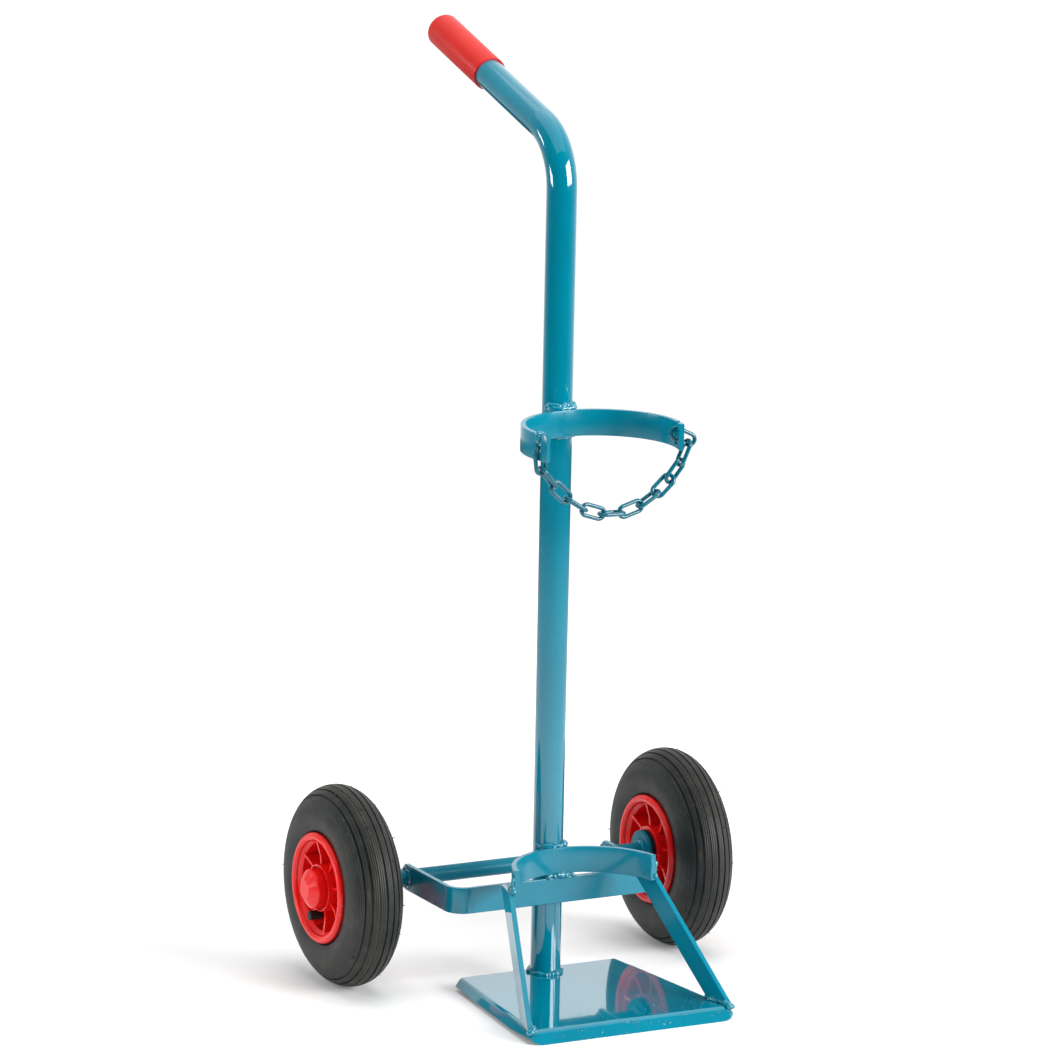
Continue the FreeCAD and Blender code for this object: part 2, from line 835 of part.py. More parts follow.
def make_valve(side_name, place):
    """A stem that leaves the inner tube through the rim's bed, and bends towards the outer side."""
    name = side_name + "_valve_stem"
    body = new_body(name)
    path = add_sketch(body, "XZ_Plane", name + "_path")
    bend = s.valve_bend
    turn_x = s.valve_offset + bend
    turn_z = s.valve_axis_radius + bend
    low = Vector(s.valve_offset.value, -s.valve_root.value, 0)
    first = Vector(s.valve_offset.value, -turn_z.value, 0)
    second = Vector(turn_x.value, -s.valve_axis_radius.value, 0)
    tip = Vector(s.valve_reach.value, -s.valve_axis_radius.value, 0)
    path.addGeometry(Part.LineSegment(low, first))
    path.addGeometry(arc_between(first, second, bend.value, -1))
    path.addGeometry(Part.LineSegment(second, tip))
    pin_point(path, 0, 1, (s.valve_offset, -s.valve_root))
    pin_point(path, 0, 2, (s.valve_offset, -turn_z))
    pin_point(path, 2, 1, (turn_x, -s.valve_axis_radius))
    pin_point(path, 2, 2, (s.valve_reach, -s.valve_axis_radius))
    path.addConstraint(Sketcher.Constraint("Coincident", 0, 2, 1, 2))
    path.addConstraint(Sketcher.Constraint("Coincident", 1, 1, 2, 1))
    set_radius(path, 1, bend)
    section = add_sketch(body, "XY_Plane", name + "_section", lift=-s.valve_root)
    circle(section, s.valve_offset, 0, s.valve_stem_radius)
    pipe = add_feature(body, "AdditivePipe", name + "_pipe", section)
    pipe.Spine = (path, ["Edge1", "Edge2", "Edge3"])
    keep(body, name, place)
    name = side_name + "_valve_cap"
    length = s.valve_cap_length
    edge = s.valve_cap_chamfer
    corners = [
        (0, 0),
        (0, s.valve_cap_radius),
        (length - edge, s.valve_cap_radius),
        (length, s.valve_cap_radius - edge),
        (length, 0),
    ]
    seat = Placement(Vector(tip.x, 0, tip.y), Rotation())
    keep(turned_body(name, corners), name, place.multiply(seat))


def make_wheel(side_name, side):
    outwards = Rotation(Vector(0, 0, 1), 0 if side > 0 else 180)
    turn = Rotation(Vector(1, 0, 0), s.wheel_roll.value).multiply(outwards)
    place = home(side * s.track_half.value, s.axle_back.value, s.axle_height.value, turn)
    make_axle_fittings(side_name, place)
    make_tyre(side_name + "_tyre", place)
    make_inner_tube(side_name + "_inner_tube", place)
    make_rim(side_name + "_rim", place)
    make_bushes(side_name, place)
    make_hub_cap(side_name + "_hub_cap", place)
    make_valve(side_name, place)


# Chain


def make_link(name, middle, along, flat):
    """An oval link. Along is its long direction, flat a direction in its plane square to along."""
    body = new_body(name)
    bow = s.link_bow
    half = s.link_straight_half
    path = add_sketch(body, "XZ_Plane", name + "_path")
    right = bow.value
    top = half.value
    spots = [
        Vector(right, 0, 0), Vector(right, top, 0), Vector(-right, top, 0),
        Vector(-right, -top, 0), Vector(right, -top, 0),
    ]
    path.addGeometry(Part.LineSegment(spots[0], spots[1]))
    path.addGeometry(arc_between(spots[1], spots[2], right, 1))
    path.addGeometry(Part.LineSegment(spots[2], spots[3]))
    path.addGeometry(arc_between(spots[3], spots[4], right, 1))
    path.addGeometry(Part.LineSegment(spots[4], spots[0]))
    places = [(bow, ZERO), (bow, half), (-bow, half), (-bow, -half), (bow, -half)]
    for geometry, place in enumerate(places):
        pin_point(path, geometry, 1, place)
        following = (geometry + 1) % len(places)
        path.addConstraint(Sketcher.Constraint("Coincident", geometry, 2, following, 1))
    section = add_sketch(body, "XY_Plane", name + "_section")
    circle(section, bow, 0, s.wire_radius)
    pipe = add_feature(body, "AdditivePipe", name + "_wire", section)
    pipe.Spine = (path, ["Edge1", "Edge2", "Edge3", "Edge4", "Edge5"])
    turn = turn_to(flat, along.cross(flat), along)
    keep(body, name, home(middle.x, middle.y, middle.z, turn))


def hanging_slopes(lengths, across, rise):
    """The slope angle of each of a row of links that hangs at rest between two points."""
    count = len(lengths)

    def slopes(pull, lift):
        return [math.atan2(lift + number - count / 2, pull) for number in range(count)]

    def reach(angles, along):
        return sum(length * along(angle) for length, angle in zip(lengths, angles))

    def balanced_lift(pull):
        low, high = -float(count), float(count)
        for _ in range(HALVINGS):
            middle = (low + high) / 2
            if reach(slopes(pull, middle), math.sin) < rise:
                low = middle
            else:
                high = middle
        return low

    loose, tight = 0.01, 100.0
    for _ in range(HALVINGS):
        pull = (loose + tight) / 2
        if reach(slopes(pull, balanced_lift(pull)), math.cos) < across:
            loose = pull
        else:
            tight = pull
    return slopes(loose, balanced_lift(loose))


def link_name(number):
    return f"chain_link_{number:02d}"


def rolled(along, normal, roll):
    """A direction square to along, turned about it by an angle from the plane with that normal."""
    return Rotation(along, roll).multVec(normal.cross(along))


def make_chain():
    up = Vector(0, 0, 1)
    clear = s.wire_radius.value + s.link_seat_gap.value
    bow = s.link_bow.value
    half = s.link_straight_half.value
    pitch = s.link_pitch.value
    hang = pitch / 2 - half
    left_out = hoop_point(-1, 1, 0) - hoop_point(-1, 0, 0)
    right_out = hoop_point(1, 1, 0) - hoop_point(1, 0, 0)

    # The first link goes through the left hole, straddles the bar below it and leans inwards
    lean = math.radians(s.first_link_lean.value)
    first_along = up * math.cos(lean) + left_out * math.sin(lean)
    first_flat = left_out * math.cos(lean) - up * math.sin(lean)
    bar_half = s.bar_thickness.value / 2
    drift = s.hole_floor.value * math.sin(lean) / 2
    bow_reach = math.sqrt((bow - clear) ** 2 - (bar_half * math.cos(lean) + drift) ** 2)
    bow_rise = bow_reach + bar_half * math.sin(lean)
    floor_middle = hoop_point(-1, bar_middle_radius, hole_floor)
    first_middle = floor_middle + first_flat * drift - first_along * (bow_rise + half)
    make_link(link_name(1), first_middle, first_along, first_flat)
    start = first_middle - first_along * half

    # The hook link lies on edge in the right slot and tips outwards over the slot's floor
    tilt = Rotation(right_out.cross(up), -s.hook_tilt.value)
    hook_along = tilt.multVec(right_out)
    hook_flat = tilt.multVec(up)
    floor_edge = hoop_point(1, s.hoop_radius.value, slot_floor)
    hook_middle = floor_edge + hook_flat * (clear + bow) - hook_along * s.hook_slide.value
    make_link(link_name(HANGING_LINKS + 3), hook_middle, hook_along, hook_flat)

    # The last link of the chain hangs from the hook link, outside the hoop
    hook_end = hook_middle + hook_along * half
    last_along = Rotation(right_out.cross(up), -s.last_link_lean.value).multVec(up)
    last_middle = hook_end - last_along * (hang + pitch / 2)
    last_flat = rolled(last_along, right_out.cross(up), LAST_LINK_ROLL)
    make_link(link_name(HANGING_LINKS + 2), last_middle, last_along, last_flat)

    # The links between the two ends follow the slopes of a chain at rest; the end ones sit a little closer
    end = last_middle - last_along * (pitch / 2 + hang)
    level = Vector(end.x - start.x, end.y - start.y, 0)
    across = level.Length
    level.normalize()
    ease = s.link_ease.value
    plain = HANGING_LINKS - 1 - len(TWISTED_ROLLS)
    lengths = [hang + pitch - ease / 2] + [pitch] * plain + [pitch - ease, pitch - ease - hang]
    offsets = [hang - ease / 2] + [0.0] * plain + [-ease / 2] * len(TWISTED_ROLLS)
    rolls = [90.0 * (number + 1) for number in range(plain + 1)] + list(TWISTED_ROLLS)
    joint = start
    for number, angle in enumerate(hanging_slopes(lengths, across, end.z - start.z)):
        along = level * math.cos(angle) + up * math.sin(angle)
        middle = joint + along * (offsets[number] + pitch / 2)
        make_link(link_name(number + 2), middle, along, rolled(along, level.cross(up), rolls[number]))
        joint = joint + along * lengths[number]


make_upright_tube()
make_handle_grip()
make_base_plate()
make_hoops()
make_brace("left_brace", -1)
make_brace("right_brace", 1)
make_axle_bracket()
make_axle()
make_wheel("left", -1)
make_wheel("right", 1)
make_chain()
doc.recompute()

# Every feature has to have worked before anything is written
for item in doc.Objects:
    if "Invalid" in item.State or "Error" in item.State:
        raise RuntimeError(f"{item.Label} failed: {item.State}")
for piece in pieces:
    if piece.Shape.isNull() or not piece.Shape.isValid():
        raise RuntimeError(f"{piece.Label} has no valid shape")
    if len(piece.Shape.Solids) != 1:
        raise RuntimeError(f"{piece.Label} has {len(piece.Shape.Solids)} solids")

os.makedirs("parts", exist_ok=True)
for piece in pieces:
    piece.Shape.exportStep(f"parts/{piece.Label}.step")

whole = Part.makeCompound([piece.Shape for piece in pieces]).BoundBox
print(f"{len(pieces)} pieces, box {whole}")
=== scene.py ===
"""Looks of the gas cylinder cart: gloss teal enamel over welded steel, red plastic and black tyres.

Metres. X points right seen from the front, the front faces -Y and Z points up.
"""
import math
import bpy
from mathutils import Matrix, Vector


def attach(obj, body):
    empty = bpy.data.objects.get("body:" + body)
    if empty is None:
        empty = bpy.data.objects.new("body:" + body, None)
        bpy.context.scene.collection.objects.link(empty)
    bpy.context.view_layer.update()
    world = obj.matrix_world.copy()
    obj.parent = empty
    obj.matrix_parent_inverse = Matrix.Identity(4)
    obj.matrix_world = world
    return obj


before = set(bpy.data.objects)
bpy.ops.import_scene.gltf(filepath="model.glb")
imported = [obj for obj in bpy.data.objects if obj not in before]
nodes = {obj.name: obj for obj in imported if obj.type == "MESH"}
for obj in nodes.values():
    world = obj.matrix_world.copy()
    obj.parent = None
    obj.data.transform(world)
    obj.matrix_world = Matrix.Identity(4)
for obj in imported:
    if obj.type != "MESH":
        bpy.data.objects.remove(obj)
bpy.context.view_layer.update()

scene = bpy.context.scene
MM = 0.001
SIDES = (("left", -1), ("right", 1))

# Sizes that the looks are built on, in millimetres from the foot of the upright's axis
UPRIGHT_SETBACK = 38.4
TUBE_RADIUS = 15.0
PLATE_TOP = 12.5
PLATE_FRONT = 178.0
PLATE_FRONT_HALF = 108.3
FLANGE_SPREAD = 8.5
AXLE_BACK = 81.6
AXLE_HEIGHT = 100.0
AXLE_RADIUS = 8.0
TRACK_HALF = 183.5
TYRE_RADIUS = 100.0
CROWN_RADIUS = 26.0
HOOP_MIDDLE = -94.0
HOOP_RADIUS = 79.0
BAR_THICKNESS = 5.0
UPPER_HOOP_LOW = 554.5
UPPER_HOOP_HIGH = 580.5
LOWER_HOOP_LOW = 117.0
LOWER_HOOP_HIGH = 143.0
HOLE_TOP = 571.0
BRACKET_FRONT = -20.0
BRACKET_HALF = 113.5
BRACKET_TOP = 113.0
COLLAR_INNER = 148.5
BRACE_TOP = (76.9, -75.6, 121.0)
BRACE_FOOT_FRONT = (107.3, -179.4)
BRACE_FOOT_REAR = (99.9, -149.3)

# How far the chain's slot and hole lie in front of the hoop's middle, in degrees round the hoop
SLOT_ANGLE = 10.5


def spot(x, y, z):
    """A place given in millimetres from the foot of the upright's axis."""
    return Vector((x, y - UPRIGHT_SETBACK, z)) * MM


# Material helpers. Each takes the material, or the world, that its nodes go into.

# Most of a noise texture's values lie between these two
NOISE_LOW = 0.3
NOISE_HIGH = 0.7


def new_material(name):
    material = bpy.data.materials.new(name)
    material.use_nodes = True
    return material, material.node_tree.nodes["Principled BSDF"]


def add_node(material, kind, **sockets):
    node = material.node_tree.nodes.new(kind)
    for name, value in sockets.items():
        node.inputs[name.replace("_", " ")].default_value = value
    return node


def link(material, output, target):
    material.node_tree.links.new(output, target)


def object_place(material, centre=(0, 0, 0)):
    """Object coordinates, counted from a centre."""
    coordinates = add_node(material, "ShaderNodeTexCoord")
    mapping = add_node(material, "ShaderNodeMapping")
    mapping.inputs["Location"].default_value = [-value for value in centre]
    link(material, coordinates.outputs["Object"], mapping.inputs["Vector"])
    return mapping.outputs["Vector"]


def noise(material, place, scale, detail=3.0, roughness=0.55):
    texture = add_node(material, "ShaderNodeTexNoise", Scale=scale, Detail=detail, Roughness=roughness)
    link(material, place, texture.inputs["Vector"])
    return texture.outputs["Fac"]


def ramp(material, value, stops):
    """Colours by value. Stops are (position, colour)."""
    node = add_node(material, "ShaderNodeValToRGB")
    elements = node.color_ramp.elements
    while len(elements) < len(stops):
        elements.new(0.5)
    for element, (position, colour) in zip(elements, stops):
        element.position = position
        element.color = (*colour, 1.0)
    link(material, value, node.inputs["Fac"])
    return node.outputs["Color"]


def map_range(material, value, low, high, to_low, to_high):
    node = add_node(material, "ShaderNodeMapRange")
    for name, number in (("From Min", low), ("From Max", high), ("To Min", to_low), ("To Max", to_high)):
        node.inputs[name].default_value = number
    link(material, value, node.inputs["Value"])
    return node.outputs["Result"]


def number_from_noise(material, value, low, high):
    return map_range(material, value, NOISE_LOW, NOISE_HIGH, low, high)


def colour_from_noise(material, value, first, last):
    return ramp(material, value, [(NOISE_LOW, first), (NOISE_HIGH, last)])


def combine(material, operation, first, second=None):
    """A math node; each side is a number or another node's output."""
    node = add_node(material, "ShaderNodeMath")
    node.operation = operation
    for socket, value in zip(node.inputs, (first, second)):
        if value is None:
            continue
        if isinstance(value, (int, float)):
            socket.default_value = value
        else:
            link(material, value, socket)
    return node.outputs["Value"]


def diagonal(material, first, second):
    """The length of the long side over two sides at a right angle."""
    squares = [combine(material, "MULTIPLY", side, side) for side in (first, second)]
    return combine(material, "SQRT", combine(material, "ADD", *squares))


def bump(material, height, depth, under=None):
    """A bumpy surface, its depth in millimetres, on top of another one if there is one under it."""
    node = add_node(material, "ShaderNodeBump", Strength=1.0, Distance=depth * MM)
    link(material, height, node.inputs["Height"])
    if under is not None:
        link(material, under, node.inputs["Normal"])
    return node.outputs["Normal"]


# Paint

DEEP_TEAL = Vector((0.0, 0.171, 0.252))
LIGHT_TEAL = Vector((0.0, 0.201, 0.292))
COAT_ROUGHNESS = 0.025


def make_teal_paint(name, peel_depth, lump_depth, dullness=0.04, coat=1.0, shine=0.5, painted_shade_scale=1.0):
    """Enamel: teal with slow drifts of tone, a fine peel, wider lumps and a clear skin on top."""
    material, shader = new_material(name)
    place = object_place(material)
    drift = noise(material, place, scale=9.0)
    # A painted shade scale below one darkens the whole tone as painted shade
    tone = colour_from_noise(material, drift, DEEP_TEAL * painted_shade_scale, LIGHT_TEAL * painted_shade_scale)
    link(material, tone, shader.inputs["Base Color"])
    sheen = noise(material, place, scale=60.0)
    link(material, number_from_noise(material, sheen, dullness, dullness * 2), shader.inputs["Roughness"])
    peel = bump(material, noise(material, place, scale=700.0, detail=2.0), peel_depth)
    lumps = bump(material, noise(material, place, scale=160.0, detail=2.0), lump_depth, under=peel)
    link(material, lumps, shader.inputs["Normal"])
    shader.inputs["Specular IOR Level"].default_value = shine
    shader.inputs["Coat Weight"].default_value = coat
    shader.inputs["Coat Roughness"].default_value = COAT_ROUGHNESS
    return material


teal_paint = make_teal_paint("teal_paint", 0.006, 0.012)
weld_paint = make_teal_paint("weld_paint", 0.01, 0.14)
bar_paint = make_teal_paint("bar_paint", 0.006, 0.012, dullness=0.14, coat=0.3)
brace_paint = make_teal_paint("brace_paint", 0.006, 0.012, dullness=0.1, coat=0.1, shine=0.25)
# The axle and its collars are darkened to eight tenths: painted shade where the bracket keeps the light off
# them
axle_paint = make_teal_paint("axle_paint", 0.02, 0.02, dullness=0.25, coat=0.0, shine=0.2, painted_shade_scale=0.8)
# The chain links are darkened to 0.62: painted shade among the small links
chain_paint = make_teal_paint("chain_paint", 0.01, 0.03, dullness=0.12, coat=0.4, painted_shade_scale=0.62)


# Plastics and steel


def make_red_plastic(name, bright, deep, smoothest, roughest, grain_depth):
    """Moulded red plastic with faint flow marks and a slightly uneven gloss."""
    material, shader = new_material(name)
    place = object_place(material)
    flow = noise(material, place, scale=35.0)
    link(material, colour_from_noise(material, flow, deep, bright), shader.inputs["Base Color"])
    gloss = noise(material, place, scale=120.0)
    link(material, number_from_noise(material, gloss, smoothest, roughest), shader.inputs["Roughness"])
    grain = noise(material, place, scale=400.0)
    link(material, bump(material, grain, grain_depth), shader.inputs["Normal"])
    return material


def make_black_plastic():
    material, shader = new_material("black_plastic")
    grain = noise(material, object_place(material), scale=500.0)
    tone = colour_from_noise(material, grain, (0.01, 0.01, 0.011), (0.02, 0.02, 0.022))
    link(material, tone, shader.inputs["Base Color"])
    link(material, number_from_noise(material, grain, 0.38, 0.5), shader.inputs["Roughness"])
    shader.inputs["Specular IOR Level"].default_value = 0.25
    link(material, bump(material, grain, 0.03), shader.inputs["Normal"])
    return material


def make_bare_steel():
    material, shader = new_material("bare_steel")
    grain = noise(material, object_place(material), scale=300.0)
    tone = colour_from_noise(material, grain, (0.4, 0.4, 0.41), (0.58, 0.58, 0.58))
    link(material, tone, shader.inputs["Base Color"])
    link(material, number_from_noise(material, grain, 0.25, 0.4), shader.inputs["Roughness"])
    shader.inputs["Metallic"].default_value = 1.0
    return material


rim_red = make_red_plastic("rim_red", (0.78, 0.009, 0.008), (0.7, 0.006, 0.006), 0.22, 0.28, 0.008)
grip_red = make_red_plastic("grip_red", (0.56, 0.014, 0.009), (0.52, 0.011, 0.007), 0.36, 0.4, 0.002)
black_plastic = make_black_plastic()
bare_steel = make_bare_steel()


# Tyre rubber

# From clean to dusty
RUBBER_SHADES = [(0.3, (0.008, 0.01, 0.009)), (0.6, (0.021, 0.024, 0.022)), (0.85, (0.085, 0.066, 0.046))]

# Angles round the tyre's crown, in radians from its middle: where each change of zone begins and ends
GROOVES_END = (0.5, 0.7)
TREAD_END = (0.85, 0.95)
SHOULDER_START = (0.88, 0.95)
SHOULDER_END = (1.25, 1.45)
DUSTY_GROOVE = math.radians(16.5)
DUSTY_GROOVE_EDGE = (0.02, 0.07)

# How quickly the moulding rings and the scuffs follow each other
RING_RATE = 78.0
SCUFFS_ROUND_CROWN = 26.0
SCUFFS_UPWARDS = 14.0

# How far below the crown a groove counts as dusty and as clean, in millimetres
GROOVE_DUSTY = 1.5
GROOVE_CLEAN = 0.6


def tyre_place(material, side):
    """Where a place on the tyre lies, from the wheel's middle and from the middle of its round crown."""
    place = object_place(material, spot(side * TRACK_HALF, AXLE_BACK, AXLE_HEIGHT))
    parts = add_node(material, "ShaderNodeSeparateXYZ")
    link(material, place, parts.inputs["Vector"])
    along_axle = parts.outputs["X"]
    radius = diagonal(material, parts.outputs["Z"], parts.outputs["Y"])
    rise = combine(material, "SUBTRACT", radius, (TYRE_RADIUS - CROWN_RADIUS) * MM)
    across = combine(material, "ABSOLUTE", along_axle)
    return {
        "place": place,
        "height": parts.outputs["Z"],
        "angle": combine(material, "ARCTAN2", along_axle, rise),
        "angle_either_way": combine(material, "ARCTAN2", across, rise),
        "from_crown_middle": diagonal(material, rise, across),
    }


def tyre_scuffs(material, at):
    """Noise drawn out along the tread."""
    stretched = add_node(material, "ShaderNodeCombineXYZ")
    round_crown = combine(material, "MULTIPLY", at["angle_either_way"], SCUFFS_ROUND_CROWN)
    upwards = combine(material, "MULTIPLY", at["height"], SCUFFS_UPWARDS)
    link(material, round_crown, stretched.inputs["X"])
    link(material, upwards, stretched.inputs["Y"])
    return noise(material, stretched.outputs["Vector"], scale=1.0, detail=5.0, roughness=0.7)


def tyre_wear(material, at, scuffs, dust_amount):
    """How dusty the rubber is: cloudy all over, scuffed, more in the grooves and most in one groove."""
    cloudy = noise(material, at["place"], scale=45.0, detail=6.0, roughness=0.7)
    dusty_depth = (CROWN_RADIUS - GROOVE_DUSTY) * MM
    clean_depth = (CROWN_RADIUS - GROOVE_CLEAN) * MM
    in_groove = map_range(material, at["from_crown_middle"], dusty_depth, clean_depth, 0.3, 0.0)
    on_tread = map_range(material, at["angle_either_way"], *GROOVES_END, 1.0, 0.0)
    grooved = combine(material, "MULTIPLY", in_groove, on_tread)
    scuffed = number_from_noise(material, scuffs, -0.14, 0.14)
    off_groove = combine(material, "ABSOLUTE", combine(material, "ADD", at["angle"], DUSTY_GROOVE))
    dusty = map_range(material, off_groove, *DUSTY_GROOVE_EDGE, dust_amount, 0.0)
    wear = cloudy
    for more in (grooved, scuffed, dusty):
        wear = combine(material, "ADD", wear, more)
    return wear


def tyre_rings(material, at):
    """Fine moulding rings: weaker on the tread than on the shoulders, and none on the side walls."""
    angle = at["angle_either_way"]
    rings = combine(material, "SINE", combine(material, "MULTIPLY", angle, RING_RATE))
    past_start = map_range(material, angle, *SHOULDER_START, 0.0, 1.0)
    before_end = map_range(material, angle, *SHOULDER_END, 1.0, 0.0)
    on_shoulder = combine(material, "MULTIPLY", past_start, before_end)
    on_tread = map_range(material, angle, *TREAD_END, 0.6, 0.0)
    return combine(material, "MULTIPLY", rings, combine(material, "MAXIMUM", on_shoulder, on_tread))


def make_tyre_rubber(name, side, dust_amount):
    """Black rubber with fine moulding rings, scuffs along the tread and brown dust in one groove."""
    material, shader = new_material(name)
    at = tyre_place(material, side)
    scuffs = tyre_scuffs(material, at)
    wear = tyre_wear(material, at, scuffs, dust_amount)
    link(material, ramp(material, wear, RUBBER_SHADES), shader.inputs["Base Color"])
    link(material, number_from_noise(material, scuffs, 0.36, 0.62), shader.inputs["Roughness"])
    shader.inputs["Specular IOR Level"].default_value = 0.36
    ringed = bump(material, tyre_rings(material, at), 0.2)
    grained = bump(material, noise(material, at["place"], scale=900.0), 0.06, under=ringed)
    link(material, grained, shader.inputs["Normal"])
    return material


tyre_rubber = {
    "left": make_tyre_rubber("left_tyre_rubber", -1, dust_amount=0.4),
    "right": make_tyre_rubber("right_tyre_rubber", 1, dust_amount=0.08),
}


# Which piece gets which finish


def finish_for(node_name):
    side_name = node_name.split("_")[0]
    if node_name.endswith(("tyre", "inner_tube")):
        return tyre_rubber[side_name]
    if node_name.endswith(("rim", "hub_cap")):
        return rim_red
    if node_name == "handle_grip":
        return grip_red
    if node_name.endswith(("bush", "valve_stem", "valve_cap")):
        return black_plastic
    if node_name.endswith("retainer"):
        return bare_steel
    if node_name.startswith("chain"):
        return chain_paint
    if node_name.endswith(("hoop", "bracket")):
        return bar_paint
    if node_name == "right_brace":
        return brace_paint
    if "axle" in node_name:
        return axle_paint
    return teal_paint


for node_name, node in nodes.items():
    node.data.materials.clear()
    node.data.materials.append(finish_for(node_name))


# Soft edges on the flat bars, the plate and the turned pieces, widths in millimetres

SOFT_EDGES = {
    "upper_hoop": 0.7,
    "lower_hoop": 0.7,
    "axle_bracket": 0.7,
    "base_plate": 0.5,
    "handle_grip": 0.5,
}
SOFT_EDGES_EACH_SIDE = {"brace": 1.2, "hub_cap": 0.8, "axle_collar": 0.6, "rim": 0.5}
LEAST_EDGE_TURN = math.radians(35)


def soften_edges(node, width):
    """Joins the facets' doubled corners, then rounds every edge that turns more than the least turn."""
    merge = node.modifiers.new("merge", "WELD")
    merge.merge_threshold = 0.001 * MM
    edge = node.modifiers.new("edge", "BEVEL")
    edge.width = width * MM
    edge.segments = 3
    edge.limit_method = "ANGLE"
    edge.angle_limit = LEAST_EDGE_TURN


for node_name, width in SOFT_EDGES.items():
    soften_edges(nodes[node_name], width)
for side_name, side in SIDES:
    for piece, width in SOFT_EDGES_EACH_SIDE.items():
        soften_edges(nodes[f"{side_name}_{piece}"], width)


# Modelling helpers


def deselect_all():
    if bpy.context.mode != "OBJECT":
        bpy.ops.object.mode_set(mode="OBJECT")
    bpy.ops.object.select_all(action="DESELECT")


def uneven(number):
    """A repeatable wobble between -1 and 1."""
    return math.sin(number * 12.9898) * math.cos(number * 4.1414)


def angles_between(start, end, count):
    return [math.radians(start + (end - start) * index / (count - 1)) for index in range(count)]


def upright_path(z, radius, start, end, count):
    """Places round the upright's axis; degrees counted from the front towards the right."""
    angles = angles_between(start, end, count)
    return [spot(radius * math.sin(angle), -radius * math.cos(angle), z) for angle in angles]


def axle_path(x, radius, start, end, count):
    """Places round the axle; degrees counted from the rear upwards."""
    places = []
    for angle in angles_between(start, end, count):
        places.append(spot(x, AXLE_BACK + radius * math.cos(angle), AXLE_HEIGHT + radius * math.sin(angle)))
    return places


def line_path(corners, spacing):
    """Places a spacing apart along straight runs between corners, in millimetres."""
    places = [spot(*corners[0])]
    for first, last in zip(corners, corners[1:]):
        start = spot(*first)
        end = spot(*last)
        steps = max(1, round((end - start).length / (spacing * MM)))
        places += [start.lerp(end, step / steps) for step in range(1, steps + 1)]
    return places


# Weld beads

BEAD_VOXEL = 0.4
BEAD_SMOOTHING = 5


def melt_drops(bead):
    """Turns overlapping drops into one soft skin."""
    melt = bead.modifiers.new("melt", "REMESH")
    melt.mode = "VOXEL"
    melt.voxel_size = BEAD_VOXEL * MM
    bpy.ops.object.modifier_apply(modifier="melt")
    soften = bead.modifiers.new("soften", "SMOOTH")
    soften.iterations = BEAD_SMOOTHING
    bpy.ops.object.modifier_apply(modifier="soften")
    bpy.ops.object.shade_smooth()


def weld_bead(name, path, radius, lumps):
    """Drops along a path, in millimetres of radius, melted into one skin. Lumps is how uneven they are."""
    deselect_all()
    for index, place in enumerate(path):
        ahead = path[min(index + 1, len(path) - 1)] - path[max(index - 1, 0)]
        seed = index + len(name)
        swell = 0.8 * math.sin(0.8 * seed) + 0.7 * uneven(seed)
        astray = Vector([uneven(seed + shift) for shift in (3, 7, 11)])
        drop = {
            "subdivisions": 2,
            "radius": radius * MM * (1 + lumps * swell),
            "location": place + astray * radius * MM * lumps,
            "rotation": ahead.to_track_quat("X", "Z").to_euler(),
            "scale": (1.1, 1, 1),
        }
        bpy.ops.mesh.primitive_ico_sphere_add(**drop)
        if index == 0:
            bead = bpy.context.object
            bpy.ops.object.transform_apply(location=True, rotation=True, scale=True)
            bpy.ops.object.mode_set(mode="EDIT")
    bpy.ops.object.mode_set(mode="OBJECT")
    bead.name = name
    melt_drops(bead)
    bead.data.materials.append(weld_paint)
    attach(bead, "frame")


def weld_foot():
    """The bead all round the upright's foot."""
    path = upright_path(PLATE_TOP + 0.8, TUBE_RADIUS + 1, 0, 346, 27)
    weld_bead("foot_weld", path, radius=2.7, lumps=0.32)


def weld_hoops():
    """The beads where the upright meets both hoops, and where the lower hoop stands on the bracket."""
    seam = upright_path(UPPER_HOOP_HIGH + 0.8, TUBE_RADIUS + 1.5, -66, 66, 16)
    crest = upright_path(UPPER_HOOP_HIGH + 4.0, TUBE_RADIUS + 0.4, 58, -58, 13)
    weld_bead("upper_hoop_weld_above", seam + crest, radius=2.9, lumps=0.2)
    above = upright_path(LOWER_HOOP_HIGH + 0.8, TUBE_RADIUS + 1.5, -66, 66, 15)
    weld_bead("lower_hoop_weld_above", above, radius=2.9, lumps=0.34)
    below = upright_path(UPPER_HOOP_LOW - 0.6, TUBE_RADIUS + 1.4, -60, 60, 13)
    weld_bead("upper_hoop_weld_below", below, radius=2.3, lumps=0.2)
    between = (BRACKET_TOP + LOWER_HOOP_LOW) / 2
    left_end = (-9, BRACKET_FRONT + 0.6, between)
    right_end = (18, BRACKET_FRONT + 0.2, between)
    weld_bead("hoop_to_bracket_weld", line_path([left_end, right_end], spacing=2.6), radius=2.9, lumps=0.32)


def weld_slot_mouth():
    """The bead that closes the left slot above the end link's hole."""
    angle = math.radians(SLOT_ANGLE)
    low = HOLE_TOP + 2.4
    high = UPPER_HOOP_HIGH + 0.4
    outside = HOOP_RADIUS + 0.2
    inside = HOOP_RADIUS - BAR_THICKNESS - 0.2
    corners = []
    for reach, z in ((outside, low), (outside, high), (inside, high), (inside, low)):
        corners.append((-reach * math.cos(angle), HOOP_MIDDLE - reach * math.sin(angle), z))
    weld_bead("slot_mouth_weld", line_path(corners, spacing=1.9), radius=2.4, lumps=0.26)


def weld_axle(side_name, side):
    """The beads round the axle at its collar and on both sides of the bracket's arm."""
    bead_middle = AXLE_RADIUS + 0.8
    collar = axle_path(side * (COLLAR_INNER - 1.0), bead_middle, 0, 345, 24)
    weld_bead(f"{side_name}_collar_weld", collar, radius=2.3, lumps=0.3)
    for label, reach in (("outer", BRACKET_HALF + 0.8), ("inner", BRACKET_HALF - BAR_THICKNESS - 0.8)):
        arm = axle_path(side * reach, bead_middle, 0, 345, 24)
        weld_bead(f"{side_name}_bracket_{label}_weld", arm, radius=2.1, lumps=0.26)


